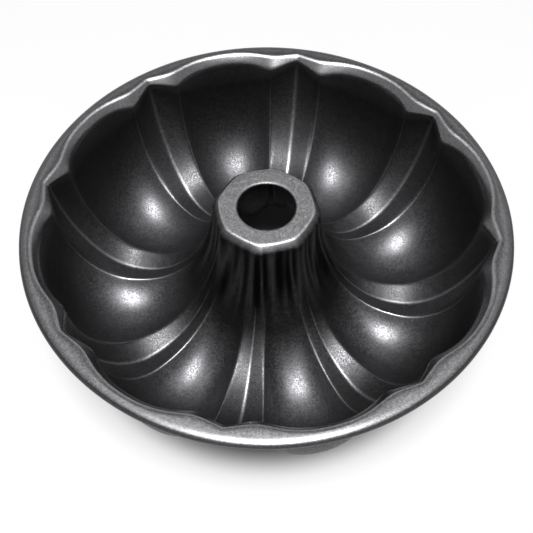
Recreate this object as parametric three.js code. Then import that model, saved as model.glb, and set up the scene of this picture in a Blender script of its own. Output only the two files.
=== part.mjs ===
// Fluted tube pan: one deep-drawn steel shell with eight rounded lobes, eight narrow V flutes and a
// pierced centre tube. Its outer edge is curled round a steel wire. Millimetres, +Z up. The origin is
// the middle of the plane that the pan stands on, and one flute points along +X.
import * as THREE from 'three';

// Overall sizes
const RIM_DIAMETER = 260; // over the curled edge
const TROUGH_DEPTH = 82; // from the rim's top to the inside of a lobe's bottom
const SHEET = 0.8; // thickness of the coated steel sheet

// Rim: the curled edge, the wire in it and the flat flange
const WIRE_DIAMETER = 2.8;
const WIRE_CLEARANCE = 0.3; // between the wire and the curl round it
const WIRE_END_GAP = 1.5; // the wire's two ends are butted, not welded
const CURL_TURN = 250; // degrees, from the flange's top round to the sheet's free edge
const SHOULDER_RADIUS = 6; // the flange's outer part bends down, before the tighter curl
const SHOULDER_TURN = 30; // degrees, of the curl's turn
const BEND_RADIUS = 3; // the tight bend at the flange's inner edge

// Lobes and flutes
const FLUTES = 8;
const FLUTE_HALF_ANGLE = 7.8; // degrees, from the bottom of a flute to the crest beside it
const FOOT_HALF_ANGLE = 1; // degrees, half of the flat along the middle of each lobe
const FOOT_LENGTH = 2; // length of the flat foot under each lobe, along the radius
const LOBE_ROUNDNESS = 0.77; // across a lobe: near 0 a parabola, 1 half an ellipse

// The three sections that the sheet runs through. flange is the width of the rim, from its outer edge
// to the bend at the flange's inner edge. That bend turns by bendTurn degrees. A straight slant of the
// length slant follows, and a roll of the radius roll brings the sheet upright.
const LOBE_RIM = { flange: 4.5, bendTurn: 58, slant: 2.2, roll: 9 };
const CREST_RIM = { flange: 10.3, bendTurn: 58, slant: 4.6, roll: 5 };
const FLUTE_RIM = { flange: 5.8, bendTurn: 55, slant: 0.8, roll: 3 };

// The trough of each section. rise is the height of its lowest point over the lobe's, and outset how far
// that point lies outside the middle. A fullness of 2 makes a quarter of the trough an ellipse, and with
// a higher one its wall stands straighter. The bottom is round with any of them.
const LOBE_TROUGH = { rise: 0, outset: 5.8, wallFullness: 3.08, tubeFullness: 1.8 };
const CREST_TROUGH = { rise: 11.3, outset: 6.7, wallFullness: 2.2, tubeFullness: 1.9 };
const FLUTE_TROUGH = { rise: 7, outset: 3.9, wallFullness: 1.6, tubeFullness: 1.8 };

// Centre tube, with as many flat sides as the pan has lobes
const TUBE_ABOVE_RIM = 3.8; // from the rim's top to the tube's
const TUBE_ACROSS_FLATS = 55.5;
const TUBE_EDGE_RADIUS = 4;
const HOLE_DIAMETER = 30.4; // punched in the tube's top
const LIP_RADIUS = 1.4; // the hole's edge is turned down

// Facets: steps along each stretch of a section, and round each half of a flute or a lobe
const CURL_STEPS = 5;
const SHOULDER_STEPS = 2;
const BEND_STEPS = 2;
const ROLL_STEPS = 2;
const QUARTER_STEPS = 6;
const EDGE_STEPS = 2;
const FLUTE_STEPS = 2;
const LOBE_STEPS = 3;
const WIRE_SIDES = 8;

// Places that follow from the sizes
const RIM_RADIUS = RIM_DIAMETER / 2;
const RIM_TOP = TROUGH_DEPTH + SHEET;
const TUBE_TOP = RIM_TOP + TUBE_ABOVE_RIM;
const CURL_RADIUS = WIRE_DIAMETER / 2 + WIRE_CLEARANCE + SHEET;
const CURL_CENTRE_RADIUS = RIM_RADIUS - CURL_RADIUS;
const CURL_START = 90 - SHOULDER_TURN; // degrees up from outwards
const SHOULDER_CENTRE_HEIGHT = RIM_TOP - SHOULDER_RADIUS;
const HALF_PITCH = 180 / FLUTES; // degrees, from the bottom of a flute to the middle of a lobe
const LOBE_ARC = HALF_PITCH - FOOT_HALF_ANGLE - FLUTE_HALF_ANGLE; // degrees, from a crest to the flat
const radians = THREE.MathUtils.degToRad;

// The curl carries on where the shoulder ends, so their centres lie on one line through that point
const CENTRE_DISTANCE = SHOULDER_RADIUS - CURL_RADIUS;
const SHOULDER_CENTRE_RADIUS = CURL_CENTRE_RADIUS - CENTRE_DISTANCE * Math.cos(radians(CURL_START));
const CURL_CENTRE_HEIGHT = SHOULDER_CENTRE_HEIGHT + CENTRE_DISTANCE * Math.sin(radians(CURL_START));

// A row of a section is a point on the trough's side of the sheet, as radius and height, with the
// direction straight through the sheet. On every arc the sheet bends away from the trough, so that
// direction points to the arc's centre. Angles go from outwards, at 0, to upwards, at 90 degrees.
function arcRows(centreRadius, centreHeight, radius, fromAngle, toAngle, steps) {
  const rows = [];
  for (let i = 0; i <= steps; i++) {
    const angle = radians(THREE.MathUtils.lerp(fromAngle, toAngle, i / steps));
    const outward = Math.cos(angle);
    const upward = Math.sin(angle);
    const r = centreRadius + radius * outward;
    const z = centreHeight + radius * upward;
    rows.push({ r, z, throughR: -outward, throughZ: -upward });
  }
  return rows;
}

// A quarter of the trough's section, from the top of its wall, or of the tube, to its lowest point
function quarterRows(topRadius, topHeight, lowRadius, lowHeight, fullness) {
  const width = topRadius - lowRadius; // negative on the tube's side
  const depth = topHeight - lowHeight;
  const rows = [];
  for (let i = 0; i <= QUARTER_STEPS; i++) {
    const angle = ((Math.PI / 2) * i) / QUARTER_STEPS;
    const across = Math.max(Math.cos(angle), 0);
    const down = Math.sin(angle) ** (2 / fullness);
    const through = new THREE.Vector2((2 * across) / width, (-fullness * down ** (fullness - 1)) / depth);
    through.normalize();
    const r = lowRadius + across * width;
    const z = topHeight - down * depth;
    rows.push({ r, z, throughR: through.x, throughZ: through.y });
  }
  return rows;
}

// One section of the sheet, from the free edge of the curl to the edge of the hole. angle, in degrees
// from the flute's bottom, says how far the tube's flat side is from the axis there.
function sectionRows(rim, trough, angle) {
  const flangeEdge = RIM_RADIUS - rim.flange;
  const bendHeight = RIM_TOP - BEND_RADIUS;
  const tilt = radians(rim.bendTurn);
  const centreGap = rim.roll - BEND_RADIUS;
  const rollCentre = flangeEdge + centreGap * Math.sin(tilt) - rim.slant * Math.cos(tilt);
  const wallTop = bendHeight - centreGap * Math.cos(tilt) - rim.slant * Math.sin(tilt);
  const wallRadius = rollCentre - rim.roll;
  const tubeRadius = TUBE_ACROSS_FLATS / 2 / Math.cos(radians(HALF_PITCH - angle));
  const tubeWallTop = TUBE_TOP - TUBE_EDGE_RADIUS;
  const low = SHEET + trough.rise;
  const middle = (wallRadius + tubeRadius) / 2 + trough.outset;
  const outerLow = middle + FOOT_LENGTH / 2;
  const innerLow = middle - FOOT_LENGTH / 2;
  const holeRadius = HOLE_DIAMETER / 2;

  const curlEnd = 90 - CURL_TURN;
  const curl = arcRows(CURL_CENTRE_RADIUS, CURL_CENTRE_HEIGHT, CURL_RADIUS, curlEnd, CURL_START, CURL_STEPS);
  const shoulder = arcRows(
    SHOULDER_CENTRE_RADIUS,
    SHOULDER_CENTRE_HEIGHT,
    SHOULDER_RADIUS,
    CURL_START,
    90,
    SHOULDER_STEPS,
  );
  const bendEnd = 90 + rim.bendTurn;
  const bend = arcRows(flangeEdge, bendHeight, BEND_RADIUS, 90, bendEnd, BEND_STEPS);
  const roll = arcRows(rollCentre, wallTop, rim.roll, bendEnd, 180, ROLL_STEPS);
  const wall = quarterRows(wallRadius, wallTop, outerLow, low, trough.wallFullness);
  const tube = quarterRows(tubeRadius, tubeWallTop, innerLow, low, trough.tubeFullness).reverse();
  const edge = arcRows(tubeRadius - TUBE_EDGE_RADIUS, tubeWallTop, TUBE_EDGE_RADIUS, 0, 90, EDGE_STEPS);
  const lip = arcRows(holeRadius + LIP_RADIUS, TUBE_TOP - LIP_RADIUS, LIP_RADIUS, 90, 180, EDGE_STEPS);
  return [...curl, ...shoulder.slice(1), ...bend, ...roll, ...wall.slice(1), ...tube, ...edge.slice(1), ...lip];
}

const lobeRows = sectionRows(LOBE_RIM, LOBE_TROUGH, HALF_PITCH);
const crestRows = sectionRows(CREST_RIM, CREST_TROUGH, FLUTE_HALF_ANGLE);
const fluteRows = sectionRows(FLUTE_RIM, FLUTE_TROUGH, 0);

// Rows part of the way from one section to another
function blendRows(fromRows, toRows, share) {
  return fromRows.map((from, i) => {
    const to = toRows[i];
    const mix = (key) => THREE.MathUtils.lerp(from[key], to[key], share);
    const through = new THREE.Vector2(mix('throughR'), mix('throughZ')).normalize();
    return { r: mix('r'), z: mix('z'), throughR: through.x, throughZ: through.y };
  });
}

// The section at an angle from the bottom of the nearest flute. The flute's sides are straight from its
// bottom to the crest, and the lobe is part of an ellipse that is level with the flat along its middle.
function rowsAt(angle) {
  const fromFlute = Math.abs(angle);
  if (fromFlute <= FLUTE_HALF_ANGLE) {
    return blendRows(fluteRows, crestRows, fromFlute / FLUTE_HALF_ANGLE);
  }
  const toFlat = 1 - Math.min((fromFlute - FLUTE_HALF_ANGLE) / LOBE_ARC, 1);
  const depthHere = Math.sqrt(1 - LOBE_ROUNDNESS * toFlat ** 2);
  const depthAtCrest = Math.sqrt(1 - LOBE_ROUNDNESS);
  return blendRows(crestRows, lobeRows, (depthHere - depthAtCrest) / (1 - depthAtCrest));
}

// The closed outline of the cut sheet: the trough's side inwards, then the other side outwards
function outlineAt(angle) {
  const rows = rowsAt(angle);
  const troughSide = rows.map(({ r, z }) => [r, z]);
  const otherSide = rows.map((row) => [row.r + row.throughR * SHEET, row.z + row.throughZ * SHEET]);
  return [...troughSide, ...otherSide.reverse()];
}

// Angles of the sections in one pitch, from the middle of one lobe to just before the next
function pitchAngles() {
  const half = [];
  for (let i = 1; i <= FLUTE_STEPS; i++) {
    half.push((FLUTE_HALF_ANGLE * i) / FLUTE_STEPS);
  }
  for (let i = 1; i <= LOBE_STEPS; i++) {
    half.push(FLUTE_HALF_ANGLE + (LOBE_ARC * i) / LOBE_STEPS);
  }
  const before = half.map((angle) => -angle).reverse();
  return [-HALF_PITCH, ...before, 0, ...half];
}

// Fluted shell: the outline is lofted once round the axis and closes on itself
function shellGeometry() {
  const points = [];
  const angles = pitchAngles();
  const outlines = angles.map(outlineAt);
  for (let flute = 0; flute < FLUTES; flute++) {
    angles.forEach((angle, i) => {
      const turn = radians(flute * 2 * HALF_PITCH + angle);
      for (const [r, z] of outlines[i]) {
        points.push(r * Math.cos(turn), r * Math.sin(turn), z);
      }
    });
  }
  const ring = outlines[0].length;
  const sections = FLUTES * angles.length;
  const faces = [];
  for (let section = 0; section < sections; section++) {
    const here = section * ring;
    const there = ((section + 1) % sections) * ring;
    for (let i = 0; i < ring; i++) {
      const next = (i + 1) % ring;
      faces.push(here + i, there + i, here + next);
      faces.push(there + i, there + next, here + next);
    }
  }
  const geometry = new THREE.BufferGeometry();
  geometry.setAttribute('position', new THREE.Float32BufferAttribute(points, 3));
  geometry.setIndex(faces);
  geometry.computeVertexNormals();
  return geometry;
}

// Rim wire: a round rod bent to a ring in the middle of the curl
class WireRing extends THREE.Curve {
  getPoint(share, target = new THREE.Vector3()) {
    const gap = WIRE_END_GAP / CURL_CENTRE_RADIUS;
    const turn = gap / 2 + share * (2 * Math.PI - gap);
    const x = CURL_CENTRE_RADIUS * Math.cos(turn);
    const y = CURL_CENTRE_RADIUS * Math.sin(turn);
    return target.set(x, y, CURL_CENTRE_HEIGHT);
  }
}

function wireGeometry() {
  const section = new THREE.Shape();
  section.absarc(0, 0, WIRE_DIAMETER / 2, 0, 2 * Math.PI);
  const steps = FLUTES * pitchAngles().length;
  const extrudePath = new WireRing();
  return new THREE.ExtrudeGeometry(section, { steps, extrudePath, curveSegments: WIRE_SIDES / 2 });
}

const nonStickSteel = new THREE.MeshStandardMaterial({ color: 0x3b3b3d, metalness: 0.7, roughness: 0.38 });
const zincedSteel = new THREE.MeshStandardMaterial({ color: 0x9c9ea1, metalness: 1, roughness: 0.4 });

const fluted_shell = new THREE.Mesh(shellGeometry(), nonStickSteel);
fluted_shell.name = 'fluted_shell';

const rim_wire = new THREE.Mesh(wireGeometry(), zincedSteel);
rim_wire.name = 'rim_wire';

const pan = new THREE.Group();
pan.name = 'fluted_tube_pan';
pan.add(fluted_shell, rim_wire);

export default pan;
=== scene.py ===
# %% [markdown]
# A fluted tube pan
#
# The real pan is one disc of steel sheet, drawn in a press to eight rounded lobes round a centre tube,
# with a dark non-stick coat baked on. Only the wire in its rim is a second piece. The CAD model gives
# both pieces and every size, so the first cell loads it as a fixed frame, and each later piece takes its
# place from that frame.

# %% Load the CAD frame
import math

import bmesh
import bpy
import numpy as np
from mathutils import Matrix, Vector


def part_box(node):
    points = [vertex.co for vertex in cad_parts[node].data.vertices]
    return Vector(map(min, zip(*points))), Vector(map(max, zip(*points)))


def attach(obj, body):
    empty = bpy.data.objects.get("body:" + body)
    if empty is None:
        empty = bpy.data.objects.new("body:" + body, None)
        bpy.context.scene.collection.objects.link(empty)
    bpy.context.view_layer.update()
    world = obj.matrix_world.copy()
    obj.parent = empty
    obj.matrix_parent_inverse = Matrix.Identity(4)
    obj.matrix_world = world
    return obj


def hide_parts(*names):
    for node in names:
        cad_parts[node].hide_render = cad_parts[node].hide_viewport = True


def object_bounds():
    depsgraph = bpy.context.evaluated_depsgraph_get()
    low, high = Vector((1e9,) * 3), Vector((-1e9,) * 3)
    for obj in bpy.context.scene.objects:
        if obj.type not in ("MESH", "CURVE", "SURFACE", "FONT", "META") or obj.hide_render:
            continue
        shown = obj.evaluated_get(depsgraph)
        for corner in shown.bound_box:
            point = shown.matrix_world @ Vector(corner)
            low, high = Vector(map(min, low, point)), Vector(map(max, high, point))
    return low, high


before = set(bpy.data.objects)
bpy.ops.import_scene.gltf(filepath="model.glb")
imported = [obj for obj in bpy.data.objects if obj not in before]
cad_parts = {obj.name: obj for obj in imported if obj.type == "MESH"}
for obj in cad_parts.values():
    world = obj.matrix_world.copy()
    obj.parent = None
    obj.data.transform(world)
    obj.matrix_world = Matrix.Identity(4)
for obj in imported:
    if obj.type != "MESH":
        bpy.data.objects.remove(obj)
cad_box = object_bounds()
shell_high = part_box("fluted_shell")[1]
wire_low, wire_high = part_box("rim_wire")
cad_size = [round(x, 4) for x in cad_box[1] - cad_box[0]]
print("CAD nodes:", sorted(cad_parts), "size in metres:", cad_size)


# %% [markdown]
# Camera
#
# A camera can be placed by eye, but a pan helps: its rim is a true circle, and a circle's picture tells
# where the camera stood. The rim's outline, the tube's hole and the flutes' ends gave the distance, the
# height and the focal length, in pixels of a picture 533 pixels wide. The camera comes first, because
# every other choice is seen by it.

# %% A direction from two angles, for the camera and later for the lights
def direction_to(azimuth, elevation):
    level = math.cos(elevation)
    return Vector((math.sin(azimuth) * level, -math.cos(azimuth) * level, math.sin(elevation)))


# %% Place the camera
MM = 0.001
IMAGE_PIXELS = 533
FOCAL_PIXELS = 760
SENSOR_WIDTH = 36  # millimetres
CAMERA_DISTANCE = 403.7 * MM  # from the middle of the rim, at the height of its top
CAMERA_ELEVATION = math.radians(52.35)
CAMERA_AZIMUTH = math.radians(9.02)
RIM_MIDDLE_ABOVE_CENTRE = 56.3  # pixels by which the rim's middle is above the picture's
TUBE_ABOVE_RIM = 3.8 * MM

rim_top = shell_high.z - TUBE_ABOVE_RIM
camera_data = bpy.data.cameras.new("photo_camera")
camera_data.sensor_width = SENSOR_WIDTH
camera_data.lens = SENSOR_WIDTH * FOCAL_PIXELS / IMAGE_PIXELS
camera = bpy.data.objects.new("photo_camera", camera_data)
bpy.context.scene.collection.objects.link(camera)
backwards = direction_to(CAMERA_AZIMUTH, CAMERA_ELEVATION)
camera.location = Vector((0, 0, rim_top)) + backwards * CAMERA_DISTANCE
look_down = CAMERA_ELEVATION + math.atan(RIM_MIDDLE_ABOVE_CENTRE / FOCAL_PIXELS)
camera.rotation_euler = (math.pi / 2 - look_down, 0, CAMERA_AZIMUTH)
bpy.context.scene.camera = camera
look_degrees = round(math.degrees(look_down), 1)
print("camera lens:", round(camera_data.lens, 1), "mm, looking down", look_degrees, "degrees")

# %% [markdown]
# Three sections of the sheet
#
# Cut the pan from the axis outwards and the cut edge of the sheet is a long wavy line: the curl at the
# rim, the flat flange, the roll over into the trough, the trough itself and the tube. The line is
# different through the middle of a lobe, through a flute's sharp crest and through the flute's bottom,
# and every other cut lies between those three. So three sections and a rule for going from one to the
# next are the whole pan. The sizes are those of the CAD model, in millimetres and degrees. Only the bevel
# at the tube's top edge is new, and it lies inside the CAD model's rounding.

# %% Sizes of the sections
SHEET = 0.8
WIRE_CLEARANCE = 0.3
SHOULDER_RADIUS = 6
SHOULDER_TURN = 30
CURL_TURN = 250
BEND_RADIUS = 3
FOOT_LENGTH = 2
TUBE_ACROSS_FLATS = 55.5
TUBE_BEVEL = 4  # from the tube's wall inwards to the flat top
BEVEL_SLOPE = 40  # from upright to the bevel's face
BEVEL_LOW_RADIUS = 3
BEVEL_TOP_RADIUS = 2
HOLE_RADIUS = 15.2
LIP_RADIUS = 1.4
LOBES = 8
HALF_PITCH = 180 / LOBES  # from a flute's bottom to the middle of a lobe
FLUTE_HALF_ANGLE = 7.8
FOOT_HALF_ANGLE = 1
LOBE_ARC = HALF_PITCH - FLUTE_HALF_ANGLE - FOOT_HALF_ANGLE
LOBE_ROUNDNESS = 0.77  # 0 is a parabola across the lobe, 1 a half circle

tube_top = shell_high.z / MM
rim_radius = shell_high.x / MM
wire_radius = (wire_high.z - wire_low.z) / 2 / MM
curl_radius = wire_radius + WIRE_CLEARANCE + SHEET
curl_middle = np.array((rim_radius - curl_radius, (wire_high.z + wire_low.z) / 2 / MM))
curl_start = 90 - SHOULDER_TURN
start_angle = math.radians(curl_start)
start_direction = np.array((math.cos(start_angle), math.sin(start_angle)))
shoulder_middle = curl_middle - (SHOULDER_RADIUS - curl_radius) * start_direction
measured_sizes = {"rim radius": rim_radius, "wire": 2 * wire_radius, "curl": 2 * curl_radius}
print("sizes in mm:", {name: round(size, 2) for name, size in measured_sizes.items()})

# %% Rows of points along a section
# Each row is a point on the trough's side, as radius and height, and the direction through the sheet.
FLAT_SHARES = np.array([[0.12], [0.5], [0.88]])  # where a flat has rows, between its two ends


def arc_rows(centre, radius, from_angle, to_angle, steps):
    angles = np.radians(np.linspace(from_angle, to_angle, steps + 1))
    outwards = np.column_stack((np.cos(angles), np.sin(angles)))
    return np.hstack((np.array(centre) + radius * outwards, -outwards))


def flat_rows(from_row, to_row):
    return from_row + (to_row - from_row) * FLAT_SHARES


def quarter_rows(top, low, fullness, steps):
    angles = np.linspace(0, math.pi / 2, steps + 1)
    across = np.cos(angles).clip(0)
    down = np.sin(angles) ** (2 / fullness)
    width, depth = top[0] - low[0], top[1] - low[1]
    points = np.column_stack((low[0] + across * width, top[1] - down * depth))
    through = np.column_stack((2 * across / width, -fullness * down ** (fullness - 1) / depth))
    return np.hstack((points, through / np.linalg.norm(through, axis=1, keepdims=True)))


# %% Rows of the tube's top edge, from its wall over the bevel to the flat top
BEVEL_LOW_STEPS = 3
BEVEL_TOP_STEPS = 4


def bevel_rows(tube_radius):
    slope = math.radians(BEVEL_SLOPE)
    out = np.array((math.cos(slope), math.sin(slope)))
    down = np.array((math.sin(slope), -math.cos(slope)))
    top_middle = np.array((tube_radius - TUBE_BEVEL, tube_top - BEVEL_TOP_RADIUS))
    face_width = TUBE_BEVEL - BEVEL_TOP_RADIUS * out[0] - BEVEL_LOW_RADIUS * (1 - out[0])
    face = face_width / down[0] * down
    low_middle = top_middle + (BEVEL_TOP_RADIUS - BEVEL_LOW_RADIUS) * out + face
    low = arc_rows(low_middle, BEVEL_LOW_RADIUS, 0, BEVEL_SLOPE, BEVEL_LOW_STEPS)
    top = arc_rows(top_middle, BEVEL_TOP_RADIUS, BEVEL_SLOPE, 90, BEVEL_TOP_STEPS)
    return np.vstack((low, top))


# %% The stretches of a section, from the curl's free edge to the edge of the hole
# The rim is given as the flange's width, the turn of the bend at its inner edge, the length of the slant
# that follows, and the radius of the roll into the wall. The trough is given as the rise of its lowest
# point, that point's distance outside the middle, and how full the curve is on the wall's side and on
# the tube's.
CURL_STEPS = 12
SHOULDER_STEPS = 4
BEND_STEPS = 5
ROLL_STEPS = 5
TROUGH_STEPS = 20
LIP_STEPS = 5


def stretches(angle, flange, bend_turn, slant, roll_radius, rise, outset, wall_fullness, tube_fullness):
    bend_middle = np.array((rim_radius - flange, rim_top / MM - BEND_RADIUS))
    tilt = math.radians(bend_turn)
    across_bend = np.array((math.sin(tilt), -math.cos(tilt)))
    down_slant = np.array((-math.cos(tilt), -math.sin(tilt)))
    roll_middle = bend_middle + (roll_radius - BEND_RADIUS) * across_bend + slant * down_slant
    wall_top = (roll_middle[0] - roll_radius, roll_middle[1])
    tube_radius = TUBE_ACROSS_FLATS / 2 / math.cos(math.radians(HALF_PITCH - angle))
    edge = bevel_rows(tube_radius)
    tube_wall_top = (tube_radius, edge[0, 1])
    middle = (wall_top[0] + tube_radius) / 2 + outset
    outer_low = (middle + FOOT_LENGTH / 2, SHEET + rise)
    inner_low = (middle - FOOT_LENGTH / 2, SHEET + rise)
    lip_middle = (HOLE_RADIUS + LIP_RADIUS, tube_top - LIP_RADIUS)

    shoulder = arc_rows(shoulder_middle, SHOULDER_RADIUS, curl_start, 90, SHOULDER_STEPS)
    bend = arc_rows(bend_middle, BEND_RADIUS, 90, 90 + bend_turn, BEND_STEPS)
    wall = quarter_rows(wall_top, outer_low, wall_fullness, TROUGH_STEPS)
    tube = quarter_rows(tube_wall_top, inner_low, tube_fullness, TROUGH_STEPS)[::-1]
    lip = arc_rows(lip_middle, LIP_RADIUS, 90, 180, LIP_STEPS)
    return {
        "curl": arc_rows(curl_middle, curl_radius, 90 - CURL_TURN, curl_start, CURL_STEPS),
        "shoulder": shoulder[1:],
        "flange": flat_rows(shoulder[-1], bend[0]),
        "bend": bend,
        "roll": arc_rows(roll_middle, roll_radius, 90 + bend_turn, 180, ROLL_STEPS),
        "wall": wall[1:],
        "floor": flat_rows(wall[-1], tube[0]),
        "tube": tube,
        "edge": edge[1:],
        "tube_top": flat_rows(edge[-1], lip[0]),
        "lip": lip,
    }


# %% The three sections
flute_rim = {"flange": 5.8, "bend_turn": 55, "slant": 0.8, "roll_radius": 3}
flute_trough = {"rise": 7, "outset": 3.9, "wall_fullness": 1.6, "tube_fullness": 1.8}
flute_parts = stretches(0, **flute_rim, **flute_trough)
crest_rim = {"flange": 10.3, "bend_turn": 58, "slant": 4.6, "roll_radius": 5}
crest_trough = {"rise": 11.3, "outset": 6.7, "wall_fullness": 2.2, "tube_fullness": 1.9}
crest_parts = stretches(FLUTE_HALF_ANGLE, **crest_rim, **crest_trough)
lobe_rim = {"flange": 4.5, "bend_turn": 58, "slant": 2.2, "roll_radius": 9}
lobe_trough = {"rise": 0, "outset": 5.8, "wall_fullness": 3.08, "tube_fullness": 1.8}
lobe_parts = stretches(HALF_PITCH, **lobe_rim, **lobe_trough)
print("rows in each stretch:", {name: len(rows) for name, rows in lobe_parts.items()})

# %% [markdown]
# What goes with each row
#
# A pressed and coated sheet isn't the same everywhere. Its crests are rounded off at the flange and sharp
# on the wall. The coat also has painted light: a painted highlight, a paler colour, along the bends that
# stand out and on the tube's flat top, and painted shade, a nearly black colour, on the walls, in the
# flutes and inside the tube. That could be painted on the finished mesh, but then it would be lost with
# every new size. So each row carries some numbers that say how it is bent, how much painted highlight
# and painted shade it gets and how its coat is, and the shell's tree and the coat's material read them.

# %% Numbers of each row
# They are spread evenly from the first row of a stretch to its last. A stretch names only the numbers
# that are not the usual ones.
USUAL_NUMBERS = {
    "ease": [1],  # how much the flutes' crests are rounded off
    "corner": [0],  # how much the tube's eight corners are rounded off
    "line_highlight_paint": [0],  # how strong the painted highlight lines along a flute are
    "highlight_paint": [0],  # painted highlight: how much paler the coat is made
    "shade_paint": [0],  # painted shade: how much darker the coat is made
    "dry": [0],  # how dull the coat is in the flutes; it also gives them some painted shade
    "gloss": [0],  # how much smoother the coat is
    "back": [0.7],  # painted shade on the side away from the trough
}
# Painted highlight goes on the shoulder, the flange, the bend, the roll, the flute lines and the tube's
# bevel, flat top and lip; painted shade on the curl, the foot of the roll, the walls, the tube's wall, its
# bevel and the inside of the tube.
ROW_NUMBERS = {
    "curl": {"shade_paint": [0.5], "gloss": [0.5]},
    "shoulder": {"highlight_paint": [0.1, 0.36], "gloss": [0.5]},
    "flange": {"highlight_paint": [0.38, 0.27, 0.1], "gloss": [0.35]},
    "bend": {"highlight_paint": [0.08, 0.14, 0.5, 0.75, 0.3, 0.16], "gloss": [0.3, 0.2, 0.2, 0.5, 1]},
    "roll": {"ease": [1, 0.5], "highlight_paint": [0.14, 0.12, 0], "shade_paint": [0, 0.1, 0.5], "gloss": [1, 1, 0.4]},
    "wall": {
        "ease": [0.45, 0],
        "line_highlight_paint": [0.05, 0.15, 0.5, 0.9],
        "shade_paint": [0.84, 0.72, 0.5, 0.2, 0],
        "dry": [0.2, 1],
        "gloss": [0.2, 0, 0, 0],
    },
    "floor": {"ease": [0], "line_highlight_paint": [0.9], "dry": [1]},
    "tube": {
        "ease": [0, 0.4],
        "corner": [0, 0, 0, 0.5],
        "line_highlight_paint": [0.9, 0.25, 0.03, 0],
        "shade_paint": [0, 0.3, 0.85, 0.9, 0.9],
        "dry": [1, 0.3, 0],
        "back": [0.7, 0.97, 0.97],
    },
    "edge": {
        "ease": [0.5, 1],
        "corner": [0.6, 1],
        "highlight_paint": [0, 0, 0, 0.1, 0.3, 0.6, 0.6, 0.4],
        "shade_paint": [0.8, 0.75, 0.65, 0.55, 0.3, 0, 0, 0],
        "back": [0.97],
    },
    "tube_top": {"corner": [1], "highlight_paint": [0.43], "back": [0.97]},
    "lip": {"corner": [1], "highlight_paint": [0.5, 0.15, 0, 0], "shade_paint": [0, 0.8, 0.97], "back": [0.97]},
}
trough_numbers = {}
for number, usual in USUAL_NUMBERS.items():
    runs = []
    for name, rows in lobe_parts.items():
        values = ROW_NUMBERS[name].get(number, usual)
        runs.append(np.interp(np.linspace(0, 1, len(rows)), np.linspace(0, 1, len(values)), values))
    trough_numbers[number] = np.concatenate(runs)
print("rows on each side of the sheet:", len(trough_numbers["ease"]))

# %% The same numbers for the other side of the sheet
# It is bent as the trough's side is, but has no painted highlight or painted lines, and isn't dry.
back_numbers = dict.fromkeys(("line_highlight_paint", "highlight_paint", "dry", "gloss"), np.zeros(len(trough_numbers["ease"])))
back_numbers["ease"] = trough_numbers["ease"]
back_numbers["corner"] = trough_numbers["corner"]
back_numbers["shade_paint"] = trough_numbers.pop("back")
row_numbers = {}
for number, values in trough_numbers.items():
    row_numbers[number] = np.concatenate((values, back_numbers[number][::-1]))
print("numbers of a row:", list(row_numbers))

# %% The three outlines of the cut sheet, as the points of one mesh
outlines = []
for parts in (flute_parts, crest_parts, lobe_parts):
    rows = np.vstack(list(parts.values()))
    trough_side = rows[:, :2]
    back_side = trough_side + rows[:, 2:] * SHEET
    outlines.append(np.vstack((trough_side, back_side[::-1])))
outline_points = len(outlines[0])
section_points = np.vstack(outlines) * MM
sections_mesh = bpy.data.meshes.new("sections")
sections_mesh.from_pydata([(r, 0, z) for r, z in section_points.tolist()], [], [])
for number, values in row_numbers.items():
    attribute = sections_mesh.attributes.new(number, "FLOAT", "POINT")
    attribute.data.foreach_set("value", np.tile(values, len(outlines)).astype(np.float32))
print("points in each outline:", outline_points)


# %% [markdown]
# Shell
#
# The shell could be lofted in Python, but it follows a rule, so a Geometry Nodes tree makes it: the sizes
# stay inputs that can be changed on the modifier. A grid is laid out, one line of points for each angle
# from the middle of a lobe, over a flute, to the middle of the next. The tree looks up the three
# sections, mixes them by the angle from the flute's bottom, and turns each line to its angle. That is one
# pitch, and it is repeated round the axis, made real and merged. Last come the marks of the drawing:
# upright wrinkles on the tube, where the sheet was gathered in, and a slight unevenness all over.

# %% A function that adds a node, and one that starts a tree
def add_node(tree, kind, settings=None, links=None):
    node = tree.nodes.new(kind)
    for name, value in (settings or {}).items():
        setattr(node, name, value)
    for key, value in (links or {}).items():
        if isinstance(value, bpy.types.NodeSocket):
            tree.links.new(value, node.inputs[key])
        else:
            node.inputs[key].default_value = value
    return node


def new_tree(name, inputs):
    tree = bpy.data.node_groups.new(name, "GeometryNodeTree")
    for label, kind in inputs.items():
        tree.interface.new_socket(label, in_out="INPUT", socket_type="NodeSocket" + kind)
    tree.interface.new_socket("Geometry", in_out="OUTPUT", socket_type="NodeSocketGeometry")
    return tree


# %% Inputs of the shell's tree
shell_tree = new_tree(
    "drawn_shell",
    {
        "Sections": "Geometry",
        "Outline Points": "Int",
        "Stations": "Int",
        "Lobes": "Int",
        "Flute Half Angle": "Float",
        "Lobe Arc": "Float",
        "Flute Softness": "Float",
        "Corner Softness": "Float",
        "Crest Softness": "Float",
        "Rim Softness": "Float",
        "Flute Line Width": "Float",
        "Crest Line Width": "Float",
        "Wrinkle Height": "Float",
        "Wrinkle Width": "Float",
        "Wave Height": "Float",
        "Wave Length": "Float",
        "Seed": "Float",
        "Coat": "Material",
    },
)
given = add_node(shell_tree, "NodeGroupInput").outputs
known = {socket.name: socket for socket in given}
known["index"] = add_node(shell_tree, "GeometryNodeInputIndex").outputs[0]
print("inputs of the shell's tree:", [socket.name for socket in given if socket.name])

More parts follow.
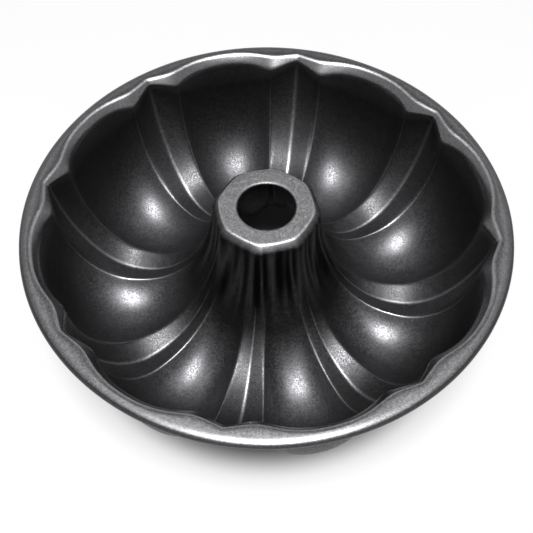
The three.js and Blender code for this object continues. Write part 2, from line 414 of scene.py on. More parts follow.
# %% Which line and which row a point of the grid is on
# Each step is one Math node: its name, what it does, and what it works on. The line through a flute's
# bottom is in the middle, and the last point of a line is its first one again, which closes the outline.
LINE_STEPS = [
    ("line points", "ADD", "Outline Points", 1),
    ("line share", "DIVIDE", "index", "line points"),
    ("line", "FLOOR", "line share"),
    ("row run", "MODULO", "index", "line points"),
    ("row", "MODULO", "row run", "Outline Points"),
    ("crest row", "ADD", "row", "Outline Points"),
    ("lobe row", "ADD", "crest row", "Outline Points"),
    ("from middle", "SUBTRACT", "line", "Stations"),
    ("side", "SIGN", "from middle"),
    ("stations off", "ABSOLUTE", "from middle"),
    ("station share", "DIVIDE", "stations off", "Stations"),
    ("line count", "MULTIPLY_ADD", "Stations", 2, 1),
]
for name, operation, *operands in LINE_STEPS:
    sockets = {i: known.get(operand, operand) for i, operand in enumerate(operands)}
    known[name] = add_node(shell_tree, "ShaderNodeMath", {"operation": operation}, sockets).outputs[0]
print("steps that find a point's line and row:", len(LINE_STEPS))

# %% Angle of each line
# The lines lie close together where the sheet bends sharply, at the flute's bottom and at its crest.
STATION_ANGLES = [0, 0.2, 0.4, 0.7, 1.1, 1.9, 3.1, 4.6, 5.9, 6.6, 7.1, 7.4, 7.6, 7.8]
STATION_ANGLES += [8.0, 8.2, 8.5, 9.0, 9.9, 11.0, 12.4, 13.8, 15.3, 16.9, 18.6, 20.5, 22.5]
stations = len(STATION_ANGLES) - 1
spacing = add_node(shell_tree, "ShaderNodeFloatCurve", None, {"Value": known["station share"]})
spacing_points = spacing.mapping.curves[0].points
for i in range(1, stations):
    spacing_points.new(i / stations, STATION_ANGLES[i] / HALF_PITCH)
for point in spacing_points:
    point.handle_type = "VECTOR"
spacing.mapping.update()
known["angle share"] = spacing.outputs[0]
print("lines in one pitch:", 2 * stations + 1)

# %% Look up the sections and the numbers of the rows
read_float = {"data_type": "FLOAT"}
read_vector = {"data_type": "FLOAT_VECTOR"}
position = add_node(shell_tree, "GeometryNodeInputPosition").outputs[0]
for name, row_name in (("flute", "row"), ("crest", "crest row"), ("lobe", "lobe row")):
    lookup = {"Geometry": known["Sections"], "Value": position, "Index": known[row_name]}
    known[name] = add_node(shell_tree, "GeometryNodeSampleIndex", read_vector, lookup).outputs[0]
for name in row_numbers:
    stored = add_node(shell_tree, "GeometryNodeInputNamedAttribute", read_float, {"Name": name}).outputs[0]
    lookup = {"Geometry": known["Sections"], "Value": stored, "Index": known["row"]}
    known[name] = add_node(shell_tree, "GeometryNodeSampleIndex", read_float, lookup).outputs[0]
print("looked up for each point: three sections and", len(row_numbers), "numbers")

# %% How much of each section a line has
# A flute's sides are straight from its bottom to the crest, and a lobe is a curve that is level at its
# middle. The root of two squares rounds the flute's bottom, and smooth minimum and maximum round the
# crest, as a press leaves them.
crest_height = math.sqrt(1 - LOBE_ROUNDNESS)
MIX_STEPS = [
    ("angle", "MULTIPLY", "angle share", HALF_PITCH),
    ("angle squared", "MULTIPLY", "angle", "angle"),
    ("fold softness", "MULTIPLY_ADD", "corner", "Corner Softness", "Flute Softness"),
    ("softness squared", "MULTIPLY", "fold softness", "fold softness"),
    ("rounded squared", "ADD", "angle squared", "softness squared"),
    ("rounded angle", "SQRT", "rounded squared"),
    ("softness", "MULTIPLY_ADD", "ease", "Rim Softness", "Crest Softness"),
    ("flute run", "DIVIDE", "rounded angle", "Flute Half Angle"),
    ("crest share", "SMOOTH_MIN", "flute run", 1, "softness"),
    ("past crest", "SUBTRACT", "rounded angle", "Flute Half Angle"),
    ("lobe run", "DIVIDE", "past crest", "Lobe Arc"),
    ("lobe start", "SMOOTH_MAX", "lobe run", 0, "softness"),
    ("lobe done", "MINIMUM", "lobe start", 1),
    ("lobe left", "SUBTRACT", 1, "lobe done"),
    ("left squared", "MULTIPLY", "lobe left", "lobe left"),
    ("round cut", "MULTIPLY_ADD", "left squared", -LOBE_ROUNDNESS, 1),
    ("round height", "SQRT", "round cut"),
    ("round rise", "SUBTRACT", "round height", crest_height),
    ("lobe share", "DIVIDE", "round rise", 1 - crest_height),
    ("signed angle", "MULTIPLY", "angle", "side"),
    ("turn", "RADIANS", "signed angle"),
]
for name, operation, *operands in MIX_STEPS:
    sockets = {i: known.get(operand, operand) for i, operand in enumerate(operands)}
    known[name] = add_node(shell_tree, "ShaderNodeMath", {"operation": operation}, sockets).outputs[0]
print("steps that mix the sections:", len(MIX_STEPS))

# %% How the coat is marked along the flutes
# A painted highlight, a bright line, runs along a flute's bottom, and a finer and fainter one along each
# crest. Beside the lines, the coat in the flute is duller and gets a little painted shade.
CREST_SHINE = 0.75
FLUTE_SHADE_PAINT = 0.35
FLUTE_COAT_END = 0.25  # share of the lobe's curve over which the flute's dull coat and painted shade fade out
MARK_STEPS = [
    ("off crest", "ABSOLUTE", "past crest"),
    ("crest run", "DIVIDE", "off crest", "Crest Line Width"),
    ("crest left", "SUBTRACT", 1, "crest run"),
    ("crest bright", "MULTIPLY", "crest left", CREST_SHINE),
    ("bottom run", "DIVIDE", "angle", "Flute Line Width"),
    ("bottom bright", "SUBTRACT", 1, "bottom run"),
    ("line left", "MAXIMUM", "crest bright", "bottom bright"),
    ("line bright", "MAXIMUM", "line left", 0),
    ("painted line", "MULTIPLY", "line bright", "line_highlight_paint"),
    ("painted_highlight", "MAXIMUM", "painted line", "highlight_paint"),
    ("lobe near", "DIVIDE", "lobe start", FLUTE_COAT_END),
    ("lobe side", "MINIMUM", "lobe near", 1),
    ("in flute", "SUBTRACT", 1, "lobe side"),
    ("flute dry", "MULTIPLY", "in flute", "dry"),
    ("off line", "SUBTRACT", 1, "line bright"),
    ("coat dry", "MULTIPLY", "flute dry", "off line"),
    ("flute painted shade", "MULTIPLY", "coat dry", FLUTE_SHADE_PAINT),
    ("painted_shade", "MAXIMUM", "flute painted shade", "shade_paint"),
    ("half outline", "DIVIDE", "Outline Points", 2),
    ("trough side", "LESS_THAN", "row", "half outline"),
]
for name, operation, *operands in MARK_STEPS:
    sockets = {i: known.get(operand, operand) for i, operand in enumerate(operands)}
    known[name] = add_node(shell_tree, "ShaderNodeMath", {"operation": operation}, sockets).outputs[0]
print("steps that mark the coat:", len(MARK_STEPS))

# %% Lay out the grid, with the marks for the coat to read
MARKS = {
    "painted_highlight": "painted_highlight",
    "painted_shade": "painted_shade",
    "dry": "coat dry",
    "gloss": "gloss",
    "trough_side": "trough side",
}
grid_counts = {"Vertices X": known["line count"], "Vertices Y": known["line points"]}
marked = add_node(shell_tree, "GeometryNodeMeshGrid", None, grid_counts).outputs["Mesh"]
for name, value in MARKS.items():
    mark = {"Geometry": marked, "Name": name, "Value": known[value]}
    marked = add_node(shell_tree, "GeometryNodeStoreNamedAttribute", read_float, mark).outputs[0]
print("marks on the grid:", list(MARKS))

# %% Mix the sections and turn each line to its angle
# A Mix node has sockets for each kind of value, so the ones for vectors go by their places.
VECTOR_A = 4
VECTOR_B = 5
VECTOR_RESULT = 1
mix_vectors = {"data_type": "VECTOR", "clamp_factor": False}
mixed = known["flute"]
for share, section in (("crest share", "crest"), ("lobe share", "lobe")):
    mix_inputs = {0: known[share], VECTOR_A: mixed, VECTOR_B: known[section]}
    mixed = add_node(shell_tree, "ShaderNodeMix", mix_vectors, mix_inputs).outputs[VECTOR_RESULT]
turn_inputs = {"Vector": mixed, "Angle": known["turn"]}
turned = add_node(
    shell_tree, "ShaderNodeVectorRotate", {"rotation_type": "Z_AXIS"}, turn_inputs
).outputs[0]
pitch_inputs = {"Geometry": marked, "Position": turned}
pitch = add_node(shell_tree, "GeometryNodeSetPosition", None, pitch_inputs).outputs[0]
print("one pitch spans", 2 * HALF_PITCH, "degrees")

# %% Repeat the pitch round the axis
WELD_DISTANCE = 0.004 * MM
axis_points = add_node(shell_tree, "GeometryNodePoints", None, {"Count": known["Lobes"]}).outputs[0]
pitch_turn = add_node(
    shell_tree, "ShaderNodeMath", {"operation": "DIVIDE"}, {0: 2 * math.pi, 1: known["Lobes"]}
).outputs[0]
copy_turn = add_node(
    shell_tree, "ShaderNodeMath", {"operation": "MULTIPLY"}, {0: known["index"], 1: pitch_turn}
).outputs[0]
rotation = add_node(
    shell_tree, "FunctionNodeAxisAngleToRotation", None, {"Axis": (0, 0, 1), "Angle": copy_turn}
).outputs[0]
copy_inputs = {"Points": axis_points, "Instance": pitch, "Rotation": rotation}
copies = add_node(shell_tree, "GeometryNodeInstanceOnPoints", None, copy_inputs).outputs[0]
real = add_node(shell_tree, "GeometryNodeRealizeInstances", None, {"Geometry": copies}).outputs[0]
weld_inputs = {"Geometry": real, "Distance": WELD_DISTANCE}
welded = add_node(shell_tree, "GeometryNodeMergeByDistance", None, weld_inputs).outputs[0]
print("pitches round the axis:", LOBES)

# %% [markdown]
# Marks of the press
#
# Where the press draws the sheet in for the tube there is too much of it, and it gathers in fine upright
# wrinkles. The rest of the sheet comes out a little uneven. Both could be bump in the material, but they
# show in the outline too, so noise moves the points. For the wrinkles it is wrapped round the tube and
# hardly changes with height, so the creases run straight down. Both marks push the two sides of the sheet
# the same way, so it keeps its thickness.

# %% Where the marks of the press show
# The wrinkles fade out below the tube and at its bevelled top edge, and the unevenness at the feet and at
# the flange. Each row says where there is none and where it is full.
axis_part = add_node(
    shell_tree, "ShaderNodeVectorMath", {"operation": "MULTIPLY"}, {0: position, 1: (1, 1, 0)}
).outputs[0]
radius = add_node(
    shell_tree, "ShaderNodeVectorMath", {"operation": "LENGTH"}, {0: axis_part}
).outputs["Value"]
height = add_node(shell_tree, "ShaderNodeSeparateXYZ", None, {0: position}).outputs["Z"]
FADES = [
    ("near tube", radius, 48 * MM, 32 * MM),
    ("above floor", height, 22 * MM, 60 * MM),
    ("below edge", height, tube_top * MM, 78 * MM),
    ("above feet", height, 2 * MM, 10 * MM),
    ("below flange", height, 78 * MM, 66 * MM),
]
smooth_step = {"interpolation_type": "SMOOTHSTEP"}
for name, measured, none_at, full_at in FADES:
    limits = {"Value": measured, "From Min": none_at, "From Max": full_at}
    known[name] = add_node(shell_tree, "ShaderNodeMapRange", smooth_step, limits).outputs[0]
print("fades:", [fade[0] for fade in FADES])

# %% Noise for the wrinkles and the unevenness
WRINKLE_STRETCH = 0.05
outwards = add_node(
    shell_tree, "ShaderNodeVectorMath", {"operation": "NORMALIZE"}, {0: axis_part}
).outputs[0]
tube_size = {0: outwards, "Scale": TUBE_ACROSS_FLATS / 2 * MM}
round_tube = add_node(shell_tree, "ShaderNodeVectorMath", {"operation": "SCALE"}, tube_size).outputs[0]
stretch = {0: position, 1: (0, 0, WRINKLE_STRETCH), 2: round_tube}
stretched = add_node(
    shell_tree, "ShaderNodeVectorMath", {"operation": "MULTIPLY_ADD"}, stretch
).outputs[0]
for name, noise_size, vector, output in (
    ("wrinkle noise", "Wrinkle Width", stretched, "Fac"),
    ("wave noise", "Wave Length", position, "Color"),
):
    scale = add_node(
        shell_tree, "ShaderNodeMath", {"operation": "DIVIDE"}, {0: 1, 1: known[noise_size]}
    ).outputs[0]
    noise_inputs = {"Vector": vector, "W": known["Seed"], "Scale": scale, "Detail": 0}
    noise = add_node(shell_tree, "ShaderNodeTexNoise", {"noise_dimensions": "4D"}, noise_inputs)
    known[name] = noise.outputs[output]
print("the wrinkles' noise is stretched", round(1 / WRINKLE_STRETCH), "times upwards")

# %% Push the sheet
# A ridge stands where the wrinkles' noise is at its middle value, and the sheet goes in on both sides.
NOISE_MIDDLE = 0.5
RIDGE_LEVEL = 0.1
PRESS_STEPS = [
    ("wrinkle middle", "SUBTRACT", "wrinkle noise", NOISE_MIDDLE),
    ("wrinkle off", "ABSOLUTE", "wrinkle middle"),
    ("wrinkle ridge", "SUBTRACT", RIDGE_LEVEL, "wrinkle off"),
    ("wrinkle near", "MULTIPLY", "wrinkle ridge", "near tube"),
    ("wrinkle high", "MULTIPLY", "wrinkle near", "above floor"),
    ("wrinkle here", "MULTIPLY", "wrinkle high", "below edge"),
    ("wrinkle", "MULTIPLY", "wrinkle here", "Wrinkle Height"),
    ("wave high", "MULTIPLY", "Wave Height", "above feet"),
    ("wave", "MULTIPLY", "wave high", "below flange"),
]
for name, operation, *operands in PRESS_STEPS:
    sockets = {i: known.get(operand, operand) for i, operand in enumerate(operands)}
    known[name] = add_node(shell_tree, "ShaderNodeMath", {"operation": operation}, sockets).outputs[0]
wrinkle_push = add_node(
    shell_tree, "ShaderNodeVectorMath", {"operation": "SCALE"}, {0: outwards, "Scale": known["wrinkle"]}
).outputs[0]
wave_inputs = {0: known["wave noise"], 1: (NOISE_MIDDLE, NOISE_MIDDLE, NOISE_MIDDLE)}
wave_middle = add_node(
    shell_tree, "ShaderNodeVectorMath", {"operation": "SUBTRACT"}, wave_inputs
).outputs[0]
wave_push = add_node(
    shell_tree, "ShaderNodeVectorMath", {"operation": "SCALE"}, {0: wave_middle, "Scale": known["wave"]}
).outputs[0]
push = add_node(
    shell_tree, "ShaderNodeVectorMath", {"operation": "ADD"}, {0: wrinkle_push, 1: wave_push}
).outputs[0]
push_inputs = {"Geometry": welded, "Offset": push}
pressed = add_node(shell_tree, "GeometryNodeSetPosition", None, push_inputs).outputs[0]
print("steps that push the sheet:", len(PRESS_STEPS))

# %% Paint highlight on the wrinkles' ridges, and paint shade between them
# Only on the trough's side: the inside of the tube keeps its own painted shade.
# The ridges' painted highlight and the painted shade between them follow the wrinkles' noise.
RIDGE_CHANGES = {"painted_highlight": 0.6, "painted_shade": -1.6}
seen_side = add_node(
    shell_tree, "GeometryNodeInputNamedAttribute", read_float, {"Name": "trough_side"}
).outputs[0]
wrinkle_seen = add_node(
    shell_tree, "ShaderNodeMath", {"operation": "MULTIPLY"}, {0: known["wrinkle here"], 1: seen_side}
).outputs[0]
for name, change in RIDGE_CHANGES.items():
    stored = add_node(shell_tree, "GeometryNodeInputNamedAttribute", read_float, {"Name": name}).outputs[0]
    change_inputs = {0: wrinkle_seen, 1: change, 2: stored}
    added = add_node(
        shell_tree, "ShaderNodeMath", {"operation": "MULTIPLY_ADD"}, change_inputs
    ).outputs[0]
    kept = add_node(shell_tree, "ShaderNodeClamp", None, {"Value": added}).outputs[0]
    mark = {"Geometry": pressed, "Name": name, "Value": kept}
    pressed = add_node(shell_tree, "GeometryNodeStoreNamedAttribute", read_float, mark).outputs[0]
print("changes on a ridge:", RIDGE_CHANGES)

# %% Smooth shading, except along the cut edges of the sheet
SHARP_ANGLE = math.radians(50)
edge_angle = add_node(shell_tree, "GeometryNodeInputMeshEdgeAngle").outputs["Unsigned Angle"]
gentle = add_node(
    shell_tree, "FunctionNodeCompare", {"operation": "LESS_THAN"}, {0: edge_angle, 1: SHARP_ANGLE}
).outputs[0]
smooth = add_node(shell_tree, "GeometryNodeSetShadeSmooth", None, {"Geometry": pressed}).outputs[0]
edge_inputs = {"Geometry": smooth, "Shade Smooth": gentle}
edged = add_node(shell_tree, "GeometryNodeSetShadeSmooth", {"domain": "EDGE"}, edge_inputs).outputs[0]
coat_inputs = {"Geometry": edged, "Material": known["Coat"]}
coated = add_node(shell_tree, "GeometryNodeSetMaterial", None, coat_inputs).outputs[0]
add_node(shell_tree, "NodeGroupOutput", None, {"Geometry": coated})
print("nodes in the shell's tree:", len(shell_tree.nodes))


# %% [markdown]
# Coat
#
# The finish is a non-stick coat, sprayed over the steel and baked: a dark grey film with fine metal
# flakes, so that it mirrors light softly, as brushed graphite does, and sparkles in fine grains. A metal
# with a dark colour gives that. High on the walls, on the tube and inside it, painted shade makes it
# nearly black. Along the bends that stand out, and on the tube's flat top, a painted highlight makes it
# paler. It is dull in the flutes and smoother round the rim.

# %% Colours from hex values, by the formula of the sRGB standard
def linear(hex_colour):
    channels = [int(hex_colour[i : i + 2], 16) / 255 for i in (1, 3, 5)]
    bright = [c / 12.92 if c <= 0.04045 else ((c + 0.055) / 1.055) ** 2.4 for c in channels]
    return (*bright, 1)


# %% Grain of the coat
# Real flakes are a tenth of this size or less. They are drawn this coarse so that they show.
FLAKE = 0.5 * MM
FLAKE_TONES = (0.18, 0.82)
MOTTLE = 5 * MM  # patches where the spray fell more or less thickly
MOTTLE_SHARE = 0.35
coat = bpy.data.materials.new("baked_non_stick_coat")
coat.use_nodes = True
coat_tree = coat.node_tree
coat_tree.nodes.clear()
place = add_node(coat_tree, "ShaderNodeTexCoord").outputs["Object"]
flake = add_node(coat_tree, "ShaderNodeTexVoronoi", None, {"Vector": place, "Scale": 1 / FLAKE})
flake_random = add_node(coat_tree, "ShaderNodeSeparateColor", None, {0: flake.outputs["Color"]}).outputs
tone_limits = {"Value": flake_random[0], "To Min": FLAKE_TONES[0], "To Max": FLAKE_TONES[1]}
flake_tone = add_node(coat_tree, "ShaderNodeMapRange", None, tone_limits).outputs[0]
mottle_inputs = {"Vector": place, "Scale": 1 / MOTTLE, "Detail": 3, "Roughness": 0.6}
mottle = add_node(coat_tree, "ShaderNodeTexNoise", None, mottle_inputs).outputs[0]
tone_inputs = {0: mottle, 1: MOTTLE_SHARE, 2: flake_tone}
tone = add_node(coat_tree, "ShaderNodeMath", {"operation": "MULTIPLY_ADD"}, tone_inputs).outputs[0]
# The shell's marks: painted highlight, painted shade, dull flutes and smoother coat.
marks_and_painted_light = {}
for name in ("painted_highlight", "painted_shade", "dry", "gloss"):
    marks_and_painted_light[name] = add_node(coat_tree, "ShaderNodeAttribute", {"attribute_name": name}).outputs["Fac"]
print("grains", FLAKE / MM, "mm and patches", MOTTLE / MM, "mm across")

# %% Colour of the coat
DARK_GRAIN = "#4c4c4e"
PALE_GRAIN = "#68686a"
# Colour of the painted shade, and colour of the painted highlight.
PAINTED_SHADE_COLOUR = "#0b0b0b"
PAINTED_HIGHLIGHT_COLOUR = "#d0d0d2"
DARKEST_TONE = 0.3
UNEVEN_HIGHLIGHT = {"From Min": 0.2, "To Min": 0.6}  # the painted highlight is weaker on dark grains
COLOUR_A = 6
COLOUR_B = 7
COLOUR_RESULT = 2
ramp = add_node(coat_tree, "ShaderNodeValToRGB", None, {0: tone})
ramp.color_ramp.elements[0].position = DARKEST_TONE
ramp.color_ramp.elements[0].color = linear(DARK_GRAIN)
ramp.color_ramp.elements[1].color = linear(PALE_GRAIN)
highlight_share = add_node(coat_tree, "ShaderNodeMapRange", None, {"Value": tone, **UNEVEN_HIGHLIGHT}).outputs[0]
highlight_amount = add_node(
    coat_tree, "ShaderNodeMath", {"operation": "MULTIPLY"}, {0: marks_and_painted_light["painted_highlight"], 1: highlight_share}
).outputs[0]
colour = ramp.outputs[0]
# Painted shade darkens the colour, and painted highlight makes it paler.
for amount, other_colour in ((marks_and_painted_light["painted_shade"], PAINTED_SHADE_COLOUR), (highlight_amount, PAINTED_HIGHLIGHT_COLOUR)):
    mix_inputs = {0: amount, COLOUR_A: colour, COLOUR_B: linear(other_colour)}
    colour = add_node(
        coat_tree, "ShaderNodeMix", {"data_type": "RGBA"}, mix_inputs
    ).outputs[COLOUR_RESULT]
print("coat from", DARK_GRAIN, "to", PALE_GRAIN, "painted shade", PAINTED_SHADE_COLOUR, "painted_highlight", PAINTED_HIGHLIGHT_COLOUR)

# %% Roughness of the coat
FLAKE_ROUGHNESS = (0.31, 0.59)
MORE_ROUGHNESS = {"dry": 0.08, "painted_shade": 0.1}
GLOSS_ROUGHNESS = 0.3
FLOAT_A = 2
FLOAT_B = 3
rough_limits = {"Value": flake_random[1], "To Min": FLAKE_ROUGHNESS[0], "To Max": FLAKE_ROUGHNESS[1]}
rough = add_node(coat_tree, "ShaderNodeMapRange", None, rough_limits).outputs[0]
for name, more in MORE_ROUGHNESS.items():
    rough_inputs = {0: marks_and_painted_light[name], 1: more, 2: rough}
    rough = add_node(coat_tree, "ShaderNodeMath", {"operation": "MULTIPLY_ADD"}, rough_inputs).outputs[0]
gloss_inputs = {0: marks_and_painted_light["gloss"], FLOAT_A: rough, FLOAT_B: GLOSS_ROUGHNESS}
rough = add_node(coat_tree, "ShaderNodeMix", None, gloss_inputs).outputs[0]
print("roughness of the grains from", FLAKE_ROUGHNESS[0], "to", FLAKE_ROUGHNESS[1])

# %% Ripple of the sprayed film, and the coat's shader
PEEL = 1.2 * MM
PEEL_DEPTH = 0.02 * MM
PEEL_STRENGTH = 0.5
peel_inputs = {"Vector": place, "Scale": 1 / PEEL, "Detail": 2, "Roughness": 0.5}
peel = add_node(coat_tree, "ShaderNodeTexNoise", None, peel_inputs).outputs[0]
bump_inputs = {"Height": peel, "Distance": PEEL_DEPTH, "Strength": PEEL_STRENGTH}
bump = add_node(coat_tree, "ShaderNodeBump", None, bump_inputs).outputs[0]
coat_values = {"Base Color": colour, "Roughness": rough, "Metallic": 1, "Normal": bump}
coat_shader = add_node(coat_tree, "ShaderNodeBsdfPrincipled", None, coat_values).outputs[0]
add_node(coat_tree, "ShaderNodeOutputMaterial", None, {"Surface": coat_shader})
print("nodes in the coat:", len(coat_tree.nodes))


# %% [markdown]
# From a tree to a plain mesh
#
# A library part has to work without its modifiers, so each tree is run once and its result is kept as a
# plain mesh. The inputs are set by their identifiers before Blender first works the tree out.

# %% Run a tree and keep its mesh
def mesh_from_tree(tree, start_mesh, name, values):
    maker = bpy.data.objects.new(name + "_maker", start_mesh)
    bpy.context.scene.collection.objects.link(maker)
    modifier = maker.modifiers.new("rule", "NODES")
    modifier.node_group = tree
    for item in tree.interface.items_tree:
        if item.in_out == "INPUT" and item.name in values:
            modifier[item.identifier] = values[item.name]
    maker_now = maker.evaluated_get(bpy.context.evaluated_depsgraph_get())
    mesh = bpy.data.meshes.new_from_object(maker_now)
    mesh.name = name
    bpy.data.objects.remove(maker)
    piece = bpy.data.objects.new(name, mesh)
    bpy.context.scene.collection.objects.link(piece)
    return piece


# %% Measure a finished piece
CUBIC_CM = 1e6  # in a cubic metre


def describe(piece):
    work = bmesh.new()
    work.from_mesh(piece.data)
    open_edges = sum(1 for edge in work.edges if len(edge.link_faces) != 2)
    volume = round(work.calc_volume(signed=True) * CUBIC_CM, 2)
    triangles = sum(len(face.verts) - 2 for face in work.faces)
    work.free()
    print(piece.name, "triangles", triangles, "open edges", open_edges, "volume", volume, "cubic cm")


# %% Make the shell
shell = mesh_from_tree(
    shell_tree,
    sections_mesh,
    "drawn_shell",
    {
        "Outline Points": outline_points,
        "Stations": stations,
        "Lobes": LOBES,
        "Flute Half Angle": FLUTE_HALF_ANGLE,
        "Lobe Arc": LOBE_ARC,
        "Flute Softness": 0.4,
        "Corner Softness": 9,
        "Crest Softness": 0.06,
        "Rim Softness": 0.5,
        "Flute Line Width": 0.8,
        "Crest Line Width": 0.25,
        "Wrinkle Height": 2.6 * MM,
        "Wrinkle Width": 4.5 * MM,
        "Wave Height": 0.5 * MM,
        "Wave Length": 30 * MM,
        "Seed": 4.0,
        "Coat": coat,
    },
)
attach(shell, "root")
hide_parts("fluted_shell")
describe(shell)

# %% [markdown]
# Rim wire
#
# The sheet's edge is curled round a zinc-plated wire, which shows only from below, in the gap that the
# curl leaves. A ring with butted ends is a curve with a round section, and Geometry Nodes sweep it. Zinc
# on drawn wire is a pale grey metal that mirrors dully, with fine lighter and darker specks.

# %% Zinc-plated wire
SPECK = 0.25 * MM  # coarser than on a real wire, so that the specks show
ZINC_ROUGHNESS = (0.3, 0.5)
ZINC_DARK = "#8c8f92"
ZINC_PALE = "#b4b7ba"
zinc = bpy.data.materials.new("zinc_plated_steel")
zinc.use_nodes = True
zinc_tree = zinc.node_tree
zinc_tree.nodes.clear()
zinc_place = add_node(zinc_tree, "ShaderNodeTexCoord").outputs["Object"]
speck_inputs = {"Vector": zinc_place, "Scale": 1 / SPECK, "Detail": 2}
speck = add_node(zinc_tree, "ShaderNodeTexNoise", None, speck_inputs).outputs[0]
zinc_ramp = add_node(zinc_tree, "ShaderNodeValToRGB", None, {0: speck})
zinc_ramp.color_ramp.elements[0].color = linear(ZINC_DARK)
zinc_ramp.color_ramp.elements[1].color = linear(ZINC_PALE)
zinc_limits = {"Value": speck, "To Min": ZINC_ROUGHNESS[0], "To Max": ZINC_ROUGHNESS[1]}
zinc_rough = add_node(zinc_tree, "ShaderNodeMapRange", None, zinc_limits).outputs[0]
zinc_values = {"Base Color": zinc_ramp.outputs[0], "Roughness": zinc_rough, "Metallic": 1}
zinc_shader = add_node(zinc_tree, "ShaderNodeBsdfPrincipled", None, zinc_values).outputs[0]
add_node(zinc_tree, "ShaderNodeOutputMaterial", None, {"Surface": zinc_shader})
print("zinc from", ZINC_DARK, "to", ZINC_PALE)

# %% The wire's tree
RING_POINTS = 240
WIRE_SIDES = 14
wire_tree = new_tree(
    "rim_wire",
    {
        "Geometry": "Geometry",
        "Ring Radius": "Float",
        "Wire Radius": "Float",
        "Height": "Float",
        "Gap": "Float",
        "Zinc": "Material",
    },
)
wire_given = add_node(wire_tree, "NodeGroupInput").outputs
sweep = add_node(
    wire_tree, "ShaderNodeMath", {"operation": "SUBTRACT"}, {0: 2 * math.pi, 1: wire_given["Gap"]}
).outputs[0]
half_gap = add_node(
    wire_tree, "ShaderNodeMath", {"operation": "DIVIDE"}, {0: wire_given["Gap"], 1: 2}
).outputs[0]
ring_inputs = {"Resolution": RING_POINTS, "Radius": wire_given["Ring Radius"]}
ring_angles = {"Start Angle": half_gap, "Sweep Angle": sweep}
ring = add_node(wire_tree, "GeometryNodeCurveArc", None, {**ring_inputs, **ring_angles}).outputs[0]
circle_inputs = {"Resolution": WIRE_SIDES, "Radius": wire_given["Wire Radius"]}
circle = add_node(wire_tree, "GeometryNodeCurvePrimitiveCircle", None, circle_inputs).outputs[0]
rod_inputs = {"Curve": ring, "Profile Curve": circle, "Fill Caps": True}
rod = add_node(wire_tree, "GeometryNodeCurveToMesh", None, rod_inputs).outputs[0]
lift = add_node(wire_tree, "ShaderNodeCombineXYZ", None, {"Z": wire_given["Height"]}).outputs[0]
lift_inputs = {"Geometry": rod, "Translation": lift}
raised = add_node(wire_tree, "GeometryNodeTransform", None, lift_inputs).outputs[0]
wire_real = add_node(wire_tree, "GeometryNodeRealizeInstances", None, {"Geometry": raised}).outputs[0]
plate_inputs = {"Geometry": wire_real, "Material": wire_given["Zinc"]}
plated = add_node(wire_tree, "GeometryNodeSetMaterial", None, plate_inputs).outputs[0]
add_node(wire_tree, "NodeGroupOutput", None, {"Geometry": plated})
print("nodes in the wire's tree:", len(wire_tree.nodes))

# %% Sweep the wire
WIRE_END_GAP = 1.5
wire = mesh_from_tree(
    wire_tree,
    bpy.data.meshes.new("wire_start"),
    "bent_rim_wire",
    {
        "Ring Radius": curl_middle[0] * MM,
        "Wire Radius": wire_radius * MM,
        "Height": curl_middle[1] * MM,
        "Gap": WIRE_END_GAP / curl_middle[0],
        "Zinc": zinc,
    },
)
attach(wire, "root")
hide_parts("rim_wire")
describe(wire)

# %% [markdown]
# Floor, light and background
#
# The pan stands on plain white. A white floor that the camera sees as white all over still has to keep
# the pan's soft shadow, so it is part lit surface and part glow. The glow is only for rays from the
# camera and for reflections, and it fades out under the pan: a painted shadow under the rim, beside the
# real shadow that the lit part keeps.

# %% Floor
FLOOR_SIZE = 3.0
half_floor = FLOOR_SIZE / 2
floor_corners = [(-half_floor, -half_floor, 0), (half_floor, -half_floor, 0)]
floor_corners += [(half_floor, half_floor, 0), (-half_floor, half_floor, 0)]
floor_mesh = bpy.data.meshes.new("floor")
floor_mesh.from_pydata(floor_corners, [], [(0, 1, 2, 3)])
floor = bpy.data.objects.new("floor", floor_mesh)
bpy.context.scene.collection.objects.link(floor)
print("floor", FLOOR_SIZE, "m wide")

# %% White paper of the floor
WHITE = "#ffffff"
PAPER_GREY = "#959595"
FLOOR_GLOW = 0.62
GLOW_STARTS = 98 * MM
GLOW_FULL = 119 * MM
paper = bpy.data.materials.new("white_paper")
paper.use_nodes = True
paper_tree = paper.node_tree
paper_tree.nodes.clear()
path = add_node(paper_tree, "ShaderNodeLightPath").outputs
seen = path["Is Camera Ray"]
for ray in ("Is Glossy Ray", "Is Transmission Ray"):
    seen = add_node(
        paper_tree, "ShaderNodeMath", {"operation": "MAXIMUM"}, {0: seen, 1: path[ray]}
    ).outputs[0]
floor_place = add_node(paper_tree, "ShaderNodeTexCoord").outputs["Object"]
floor_radius = add_node(
    paper_tree, "ShaderNodeVectorMath", {"operation": "LENGTH"}, {0: floor_place}
).outputs["Value"]
# The glow fades out under the rim, which paints the soft shadow there.
glow_limits = {"From Min": GLOW_STARTS, "From Max": GLOW_FULL, "To Max": FLOOR_GLOW}
glow_with_painted_shadow = add_node(
    paper_tree, "ShaderNodeMapRange", smooth_step, {"Value": floor_radius, **glow_limits}
).outputs[0]
glow_strength = add_node(
    paper_tree, "ShaderNodeMath", {"operation": "MULTIPLY"}, {0: seen, 1: glow_with_painted_shadow}
).outputs[0]
glow_inputs = {"Color": linear(WHITE), "Strength": glow_strength}
glow = add_node(paper_tree, "ShaderNodeEmission", None, glow_inputs).outputs[0]
lit = add_node(paper_tree, "ShaderNodeBsdfDiffuse", None, {"Color": linear(PAPER_GREY)}).outputs[0]
both = add_node(paper_tree, "ShaderNodeAddShader", None, {0: lit, 1: glow}).outputs[0]
add_node(paper_tree, "ShaderNodeOutputMaterial", None, {"Surface": both})
floor_mesh.materials.append(paper)
print("the paper glows from", GLOW_STARTS / MM, "to", GLOW_FULL / MM, "mm off the axis and beyond")

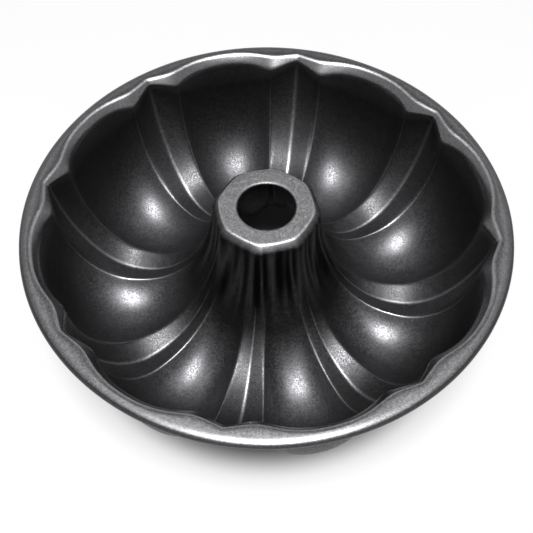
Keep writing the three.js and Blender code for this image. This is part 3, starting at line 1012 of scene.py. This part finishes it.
# %% World
# White at the horizon, like a studio's wall, and dimmer above, so that the dark coat mirrors a soft grey.
# The ceiling is dimmest behind the pan, because that part is what the far side of the flange mirrors.
HORIZON = 0.9
CEILING = 0.45
BACK_CEILING = 0.14
CEILING_STARTS = math.sin(math.radians(30))
BACK_STARTS = math.cos(math.radians(52))
BACK_FULL = math.cos(math.radians(40))
world = bpy.data.worlds.new("studio")
world.use_nodes = True
bpy.context.scene.world = world
world_tree = world.node_tree
world_tree.nodes.clear()
direction = add_node(world_tree, "ShaderNodeTexCoord").outputs["Generated"]
climb = add_node(world_tree, "ShaderNodeSeparateXYZ", None, {0: direction}).outputs["Z"]
level_away = -Vector((backwards.x, backwards.y, 0)).normalized()
towards_back = add_node(
    world_tree, "ShaderNodeVectorMath", {"operation": "DOT_PRODUCT"}, {0: direction, 1: level_away}
).outputs["Value"]
back_limits = {"From Min": BACK_STARTS, "From Max": BACK_FULL, "To Min": CEILING, "To Max": BACK_CEILING}
ceiling = add_node(
    world_tree, "ShaderNodeMapRange", smooth_step, {"Value": towards_back, **back_limits}
).outputs[0]
climb_limits = {"From Min": 0, "From Max": CEILING_STARTS, "To Min": HORIZON, "To Max": ceiling}
strength = add_node(
    world_tree, "ShaderNodeMapRange", smooth_step, {"Value": climb, **climb_limits}
).outputs[0]
sky_inputs = {"Color": linear(WHITE), "Strength": strength}
background = add_node(world_tree, "ShaderNodeBackground", None, sky_inputs).outputs[0]
add_node(world_tree, "ShaderNodeOutputWorld", None, {"Surface": background})
print("world from", HORIZON, "at the horizon to", CEILING, "above and", BACK_CEILING, "behind")

# %% Lights
# A softbox in front and a faint one above light only the pan, and a third lights only the floor, so that
# white paper doesn't need more light on the pan. Sizes and distances are in metres, power in watts.
LIGHTS = {
    "key_softbox": {"lit": "pan", "azimuth": 14, "elevation": 60, "distance": 1.1, "power": 36},
    "top_softbox": {"lit": "pan", "azimuth": 9, "elevation": 84, "distance": 1.1, "power": 0.8},
    "floor_softbox": {"lit": "floor", "azimuth": 9, "elevation": 75, "distance": 1.4, "power": 20},
}
SOFTBOX_SIZES = {"key_softbox": (0.5, 0.8), "top_softbox": (0.5, 0.5), "floor_softbox": (0.32, 0.32)}
lit_by = {}
for name, pieces in (("pan", (shell, wire)), ("floor", (floor,))):
    lit_by[name] = bpy.data.collections.new("lit_" + name)
    for piece in pieces:
        lit_by[name].objects.link(piece)
target = Vector((0, 0, rim_top / 2))
for name, light in LIGHTS.items():
    light_data = bpy.data.lights.new(name, "AREA")
    light_data.shape = "ELLIPSE"
    light_data.size, light_data.size_y = SOFTBOX_SIZES[name]
    light_data.energy = light["power"]
    lamp = bpy.data.objects.new(name, light_data)
    bpy.context.scene.collection.objects.link(lamp)
    towards = direction_to(math.radians(light["azimuth"]), math.radians(light["elevation"]))
    lamp.location = target + towards * light["distance"]
    lamp.rotation_euler = towards.to_track_quat("Z", "Y").to_euler()
    lamp.light_linking.receiver_collection = lit_by[light["lit"]]
    print(name, "at", [round(x, 2) for x in lamp.location], "lights the", light["lit"])

# %% [markdown]
# Finish
#
# The view transform is Standard, so that a colour renders as it was written.

# %% Finish the scene
bpy.context.scene.view_settings.view_transform = "Standard"
